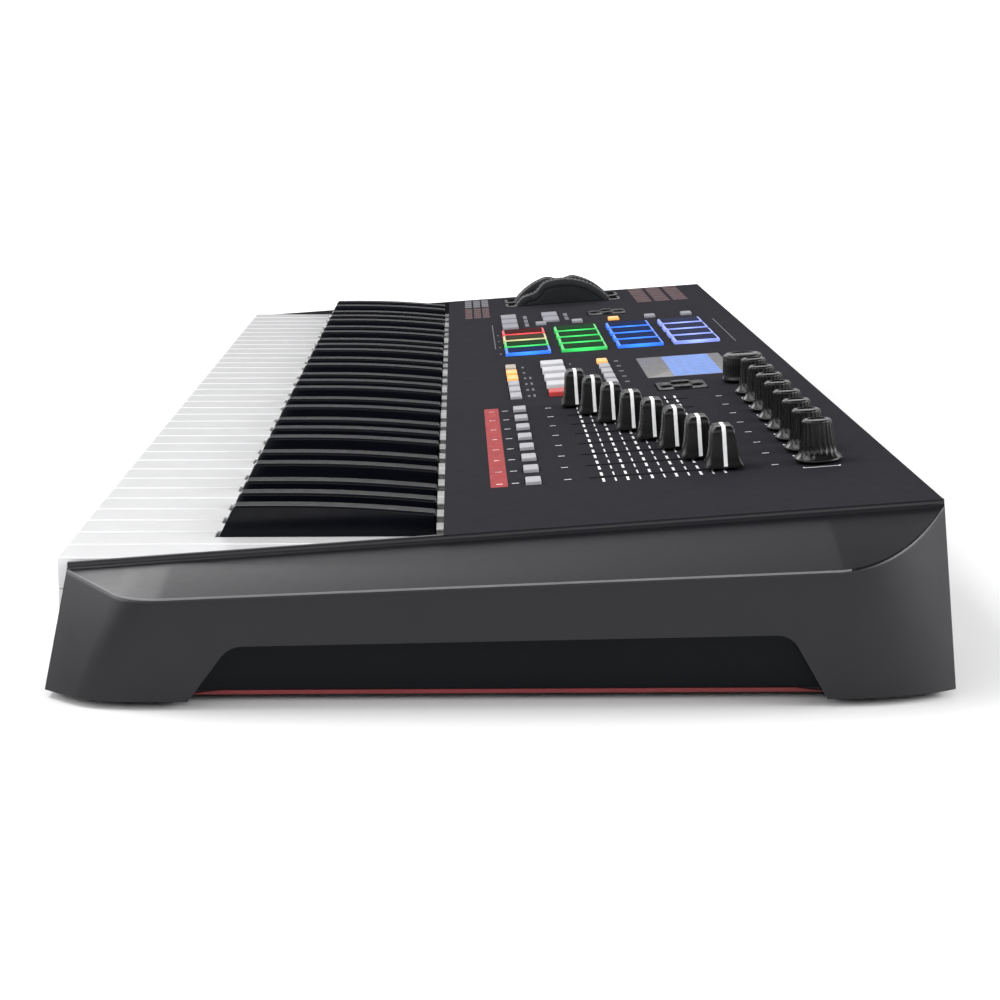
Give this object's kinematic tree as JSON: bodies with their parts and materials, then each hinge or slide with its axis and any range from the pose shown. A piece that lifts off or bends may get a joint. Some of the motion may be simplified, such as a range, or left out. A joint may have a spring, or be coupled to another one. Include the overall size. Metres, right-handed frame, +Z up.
{
  "type": "synthesizer keyboard",
  "caption": "Controller synthesizer keyboard with sliders, knobs, lit pads, wheels and a display on a sloping panel.",
  "frame": {"origin": "middle of the footprint, on the surface that the feet stand on", "axes": "+X along the keys towards the treble end, +Y from the player to the rear, +Z up"},
  "size_m": [0.937, 0.312, 0.0784],
  "materials": {
    "case_plastic": "fine matte texture",
    "panel_paint": "satin dark grey",
    "base_red": "fine matte texture",
    "white_key": "polished",
    "black_key": "polished",
    "steel": "zinc plated sheet",
    "board": "solder mask",
    "control_black": "satin",
    "button_grey": "matte silicone",
    "pad_rubber": "matte silicone",
    "display_glass": "clear window over a lit display",
    "rubber": "matte"
  },
  "bodies": {
    "case": {"bottom_case": "base_red", "rear_panel": "case_plastic", "end_cap_left": "case_plastic", "end_cap_right": "case_plastic", "foot_front_left": "rubber", "foot_front_right": "rubber", "foot_rear_left": "rubber", "foot_rear_right": "rubber", "top_panel": "panel_paint", "display": "display_glass", "wheel_bracket": "steel", "key_chassis": "steel", "control_board": "board", "main_board": "board", "jack_board": "board"},
    "keys_outer_whites_1": {"keys_outer_whites_1": "white_key"},
    "keys_inner_whites_1": {"keys_inner_whites_1": "white_key"},
    "keys_sharps_1": {"keys_sharps_1": "black_key"},
    "keys_outer_whites_2": {"keys_outer_whites_2": "white_key"},
    "keys_inner_whites_2": {"keys_inner_whites_2": "white_key"},
    "keys_sharps_2": {"keys_sharps_2": "black_key"},
    "keys_outer_whites_3": {"keys_outer_whites_3": "white_key"},
    "keys_inner_whites_3": {"keys_inner_whites_3": "white_key"},
    "keys_sharps_3": {"keys_sharps_3": "black_key"},
    "keys_outer_whites_4": {"keys_outer_whites_4": "white_key"},
    "keys_inner_whites_4": {"keys_inner_whites_4": "white_key"},
    "keys_sharps_4": {"keys_sharps_4": "black_key"},
    "keys_outer_whites_5": {"keys_outer_whites_5": "white_key"},
    "keys_inner_whites_5": {"keys_inner_whites_5": "white_key"},
    "keys_sharps_5": {"keys_sharps_5": "black_key"},
    "key_top_c": {"key_top_c": "white_key"},
    "fader_cap_1": {"fader_cap_1": "control_black"},
    "knob_1": {"knob_1": "control_black"},
    "fader_cap_2": {"fader_cap_2": "control_black"},
    "knob_2": {"knob_2": "control_black"},
    "fader_cap_3": {"fader_cap_3": "control_black"},
    "knob_3": {"knob_3": "control_black"},
    "fader_cap_4": {"fader_cap_4": "control_black"},
    "knob_4": {"knob_4": "control_black"},
    "fader_cap_5": {"fader_cap_5": "control_black"},
    "knob_5": {"knob_5": "control_black"},
    "fader_cap_6": {"fader_cap_6": "control_black"},
    "knob_6": {"knob_6": "control_black"},
    "fader_cap_7": {"fader_cap_7": "control_black"},
    "knob_7": {"knob_7": "control_black"},
    "fader_cap_8": {"fader_cap_8": "control_black"},
    "knob_8": {"knob_8": "control_black"},
    "data_shaft": {"data_shaft": "steel"},
    "data_knob": {"data_knob": "control_black"},
    "pitch_wheel": {"pitch_wheel": "rubber"},
    "mod_wheel": {"mod_wheel": "rubber"},
    "channel_switch_mat": {"channel_switch_mat": "button_grey"},
    "transport_mat": {"transport_mat": "button_grey"},
    "bank_mat": {"bank_mat": "button_grey"},
    "preset_mat": {"preset_mat": "button_grey"},
    "performance_mat": {"performance_mat": "button_grey"},
    "pad_mat": {"pad_mat": "pad_rubber"},
    "cursor_pad": {"cursor_pad": "control_black"},
    "transport_pad": {"transport_pad": "control_black"},
    "power_button": {"power_button": "control_black"}
  },
  "joints": [
    {"name": "keys_outer_whites_1_dip", "type": "hinge", "parent": "case", "child": "keys_outer_whites_1", "pos_m": [0, -0.002, 0.0297], "axis": [1, 0, 0], "range_deg": [0, 3.5], "stiffness_Nm_per_rad": 0.55, "springref_deg": -57.3},
    {"name": "keys_inner_whites_1_dip", "type": "hinge", "parent": "case", "child": "keys_inner_whites_1", "pos_m": [0, -0.002, 0.0297], "axis": [1, 0, 0], "range_deg": [0, 3.5], "stiffness_Nm_per_rad": 0.42, "springref_deg": -57.3},
    {"name": "keys_sharps_1_dip", "type": "hinge", "parent": "case", "child": "keys_sharps_1", "pos_m": [0, -0.002, 0.0297], "axis": [1, 0, 0], "range_deg": [0, 3.5], "stiffness_Nm_per_rad": 0.4, "springref_deg": -57.3},
    {"name": "keys_outer_whites_2_dip", "type": "hinge", "parent": "case", "child": "keys_outer_whites_2", "pos_m": [0, -0.002, 0.0297], "axis": [1, 0, 0], "range_deg": [0, 3.5], "stiffness_Nm_per_rad": 0.55, "springref_deg": -57.3},
    {"name": "keys_inner_whites_2_dip", "type": "hinge", "parent": "case", "child": "keys_inner_whites_2", "pos_m": [0, -0.002, 0.0297], "axis": [1, 0, 0], "range_deg": [0, 3.5], "stiffness_Nm_per_rad": 0.42, "springref_deg": -57.3},
    {"name": "keys_sharps_2_dip", "type": "hinge", "parent": "case", "child": "keys_sharps_2", "pos_m": [0, -0.002, 0.0297], "axis": [1, 0, 0], "range_deg": [0, 3.5], "stiffness_Nm_per_rad": 0.4, "springref_deg": -57.3},
    {"name": "keys_outer_whites_3_dip", "type": "hinge", "parent": "case", "child": "keys_outer_whites_3", "pos_m": [0, -0.002, 0.0297], "axis": [1, 0, 0], "range_deg": [0, 3.5], "stiffness_Nm_per_rad": 0.55, "springref_deg": -57.3},
    {"name": "keys_inner_whites_3_dip", "type": "hinge", "parent": "case", "child": "keys_inner_whites_3", "pos_m": [0, -0.002, 0.0297], "axis": [1, 0, 0], "range_deg": [0, 3.5], "stiffness_Nm_per_rad": 0.42, "springref_deg": -57.3},
    {"name": "keys_sharps_3_dip", "type": "hinge", "parent": "case", "child": "keys_sharps_3", "pos_m": [0, -0.002, 0.0297], "axis": [1, 0, 0], "range_deg": [0, 3.5], "stiffness_Nm_per_rad": 0.4, "springref_deg": -57.3},
    {"name": "keys_outer_whites_4_dip", "type": "hinge", "parent": "case", "child": "keys_outer_whites_4", "pos_m": [0, -0.002, 0.0297], "axis": [1, 0, 0], "range_deg": [0, 3.5], "stiffness_Nm_per_rad": 0.55, "springref_deg": -57.3},
    {"name": "keys_inner_whites_4_dip", "type": "hinge", "parent": "case", "child": "keys_inner_whites_4", "pos_m": [0, -0.002, 0.0297], "axis": [1, 0, 0], "range_deg": [0, 3.5], "stiffness_Nm_per_rad": 0.42, "springref_deg": -57.3},
    {"name": "keys_sharps_4_dip", "type": "hinge", "parent": "case", "child": "keys_sharps_4", "pos_m": [0, -0.002, 0.0297], "axis": [1, 0, 0], "range_deg": [0, 3.5], "stiffness_Nm_per_rad": 0.4, "springref_deg": -57.3},
    {"name": "keys_outer_whites_5_dip", "type": "hinge", "parent": "case", "child": "keys_outer_whites_5", "pos_m": [0, -0.002, 0.0297], "axis": [1, 0, 0], "range_deg": [0, 3.5], "stiffness_Nm_per_rad": 0.55, "springref_deg": -57.3},
    {"name": "keys_inner_whites_5_dip", "type": "hinge", "parent": "case", "child": "keys_inner_whites_5", "pos_m": [0, -0.002, 0.0297], "axis": [1, 0, 0], "range_deg": [0, 3.5], "stiffness_Nm_per_rad": 0.42, "springref_deg": -57.3},
    {"name": "keys_sharps_5_dip", "type": "hinge", "parent": "case", "child": "keys_sharps_5", "pos_m": [0, -0.002, 0.0297], "axis": [1, 0, 0], "range_deg": [0, 3.5], "stiffness_Nm_per_rad": 0.4, "springref_deg": -57.3},
    {"name": "key_top_c_dip", "type": "hinge", "parent": "case", "child": "key_top_c", "pos_m": [0, -0.002, 0.0297], "axis": [1, 0, 0], "range_deg": [0, 3.5], "stiffness_Nm_per_rad": 0.14, "springref_deg": -57.3},
    {"name": "fader_1_slide", "type": "slide", "parent": "case", "child": "fader_cap_1", "axis": [0, 0.9976, 0.0698], "range_m": [0, 0.0474]},
    {"name": "knob_1_turn", "type": "hinge", "parent": "case", "child": "knob_1", "pos_m": [0.1344, 0.1262, 0.06129], "axis": [0, -0.0698, 0.9976], "continuous": true},
    {"name": "fader_2_slide", "type": "slide", "parent": "case", "child": "fader_cap_2", "axis": [0, 0.9976, 0.0698], "range_m": [-0.00677, 0.04063]},
    {"name": "knob_2_turn", "type": "hinge", "parent": "case", "child": "knob_2", "pos_m": [0.1627, 0.1262, 0.06129], "axis": [0, -0.0698, 0.9976], "continuous": true},
    {"name": "fader_3_slide", "type": "slide", "parent": "case", "child": "fader_cap_3", "axis": [0, 0.9976, 0.0698], "range_m": [-0.01354, 0.03386]},
    {"name": "knob_3_turn", "type": "hinge", "parent": "case", "child": "knob_3", "pos_m": [0.191, 0.1262, 0.06129], "axis": [0, -0.0698, 0.9976], "continuous": true},
    {"name": "fader_4_slide", "type": "slide", "parent": "case", "child": "fader_cap_4", "axis": [0, 0.9976, 0.0698], "range_m": [-0.02031, 0.02709]},
    {"name": "knob_4_turn", "type": "hinge", "parent": "case", "child": "knob_4", "pos_m": [0.2193, 0.1262, 0.06129], "axis": [0, -0.0698, 0.9976], "continuous": true},
    {"name": "fader_5_slide", "type": "slide", "parent": "case", "child": "fader_cap_5", "axis": [0, 0.9976, 0.0698], "range_m": [-0.02709, 0.02031]},
    {"name": "knob_5_turn", "type": "hinge", "parent": "case", "child": "knob_5", "pos_m": [0.2476, 0.1262, 0.06129], "axis": [0, -0.0698, 0.9976], "continuous": true},
    {"name": "fader_6_slide", "type": "slide", "parent": "case", "child": "fader_cap_6", "axis": [0, 0.9976, 0.0698], "range_m": [-0.03386, 0.01354]},
    {"name": "knob_6_turn", "type": "hinge", "parent": "case", "child": "knob_6", "pos_m": [0.2759, 0.1262, 0.06129], "axis": [0, -0.0698, 0.9976], "continuous": true},
    {"name": "fader_7_slide", "type": "slide", "parent": "case", "child": "fader_cap_7", "axis": [0, 0.9976, 0.0698], "range_m": [-0.04063, 0.00677]},
    {"name": "knob_7_turn", "type": "hinge", "parent": "case", "child": "knob_7", "pos_m": [0.3042, 0.1262, 0.06129], "axis": [0, -0.0698, 0.9976], "continuous": true},
    {"name": "fader_8_slide", "type": "slide", "parent": "case", "child": "fader_cap_8", "axis": [0, 0.9976, 0.0698], "range_m": [-0.0474, 0]},
    {"name": "knob_8_turn", "type": "hinge", "parent": "case", "child": "knob_8", "pos_m": [0.3325, 0.1262, 0.06129], "axis": [0, -0.0698, 0.9976], "continuous": true},
    {"name": "data_knob_push", "type": "slide", "parent": "case", "child": "data_shaft", "axis": [0, 0.0698, -0.9976], "range_m": [0, 0.0005], "stiffness_N_per_m": 2000, "springref_m": -0.001},
    {"name": "data_knob_turn", "type": "hinge", "parent": "data_shaft", "child": "data_knob", "pos_m": [0.09, 0.1262, 0.06129], "axis": [0, -0.0698, 0.9976], "continuous": true},
    {"name": "pitch_bend", "type": "hinge", "parent": "case", "child": "pitch_wheel", "pos_m": [0, 0.05974, 0.03158], "axis": [-1, 0, 0], "range_deg": [-30, 30], "stiffness_Nm_per_rad": 0.2},
    {"name": "modulation", "type": "hinge", "parent": "case", "child": "mod_wheel", "pos_m": [0, 0.05974, 0.03158], "axis": [-1, 0, 0], "range_deg": [0, 60]},
    {"name": "channel_switch_mat_press", "type": "slide", "parent": "case", "child": "channel_switch_mat", "axis": [0, 0.0698, -0.9976], "range_m": [0, 0.0008], "stiffness_N_per_m": 2500, "springref_m": -0.001},
    {"name": "transport_mat_press", "type": "slide", "parent": "case", "child": "transport_mat", "axis": [0, 0.0698, -0.9976], "range_m": [0, 0.0008], "stiffness_N_per_m": 2500, "springref_m": -0.001},
    {"name": "bank_mat_press", "type": "slide", "parent": "case", "child": "bank_mat", "axis": [0, 0.0698, -0.9976], "range_m": [0, 0.0008], "stiffness_N_per_m": 2000, "springref_m": -0.001},
    {"name": "preset_mat_press", "type": "slide", "parent": "case", "child": "preset_mat", "axis": [0, 0.0698, -0.9976], "range_m": [0, 0.0008], "stiffness_N_per_m": 2000, "springref_m": -0.001},
    {"name": "performance_mat_press", "type": "slide", "parent": "case", "child": "performance_mat", "axis": [0, 0.0698, -0.9976], "range_m": [0, 0.0008], "stiffness_N_per_m": 2500, "springref_m": -0.001},
    {"name": "pad_mat_press", "type": "slide", "parent": "case", "child": "pad_mat", "axis": [0, 0.0698, -0.9976], "range_m": [0, 0.0006], "stiffness_N_per_m": 8000, "springref_m": -0.001},
    {"name": "cursor_press", "type": "slide", "parent": "case", "child": "cursor_pad", "axis": [0, 0.0698, -0.9976], "range_m": [0, 0.0008], "stiffness_N_per_m": 800, "springref_m": -0.0015},
    {"name": "transport_press", "type": "slide", "parent": "case", "child": "transport_pad", "axis": [0, 0.0698, -0.9976], "range_m": [0, 0.0008], "stiffness_N_per_m": 800, "springref_m": -0.0015},
    {"name": "power_press", "type": "slide", "parent": "case", "child": "power_button", "axis": [0, -1, 0], "range_m": [0, 0.0025], "stiffness_N_per_m": 600, "springref_m": -0.002}
  ]
}
